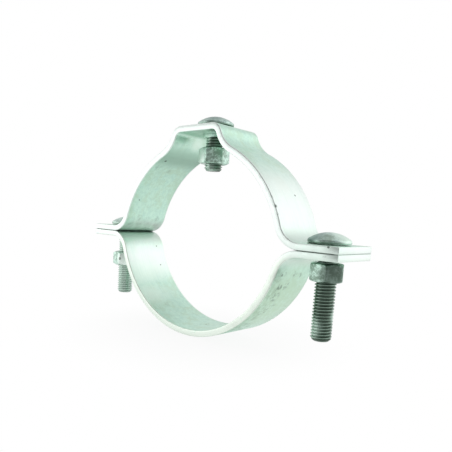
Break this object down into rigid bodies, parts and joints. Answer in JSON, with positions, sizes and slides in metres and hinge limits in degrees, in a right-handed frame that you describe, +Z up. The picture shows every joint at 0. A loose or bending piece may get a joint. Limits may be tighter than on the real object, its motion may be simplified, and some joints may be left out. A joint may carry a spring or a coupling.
{
  "type": "pole mounting clamp",
  "caption": "Two-piece galvanised strap clamp for a round pole, with a raised flat pad for a sign or bracket and square-neck bolts with hex nuts.",
  "frame": {"origin": "on the pole's axis, on the plane where the flanges meet, at the middle of the strips' width", "axes": "+X along the flanges to the right, +Y along the pole, +Z up towards the raised pad"},
  "size_m": [0.213, 0.038, 0.1442],
  "materials": {
    "strap": "hot-dip galvanised, satin",
    "bolt": "hot-dip galvanised, dull",
    "nut": "hot-dip galvanised, dull"
  },
  "bodies": {
    "root": {"upper_strap": "strap", "lower_strap": "strap", "right_flange_bolt": "bolt", "right_flange_nut": "nut", "left_flange_bolt": "bolt", "left_flange_nut": "nut", "pad_bolt": "bolt", "pad_nut": "nut"}
  },
  "joints": []
}
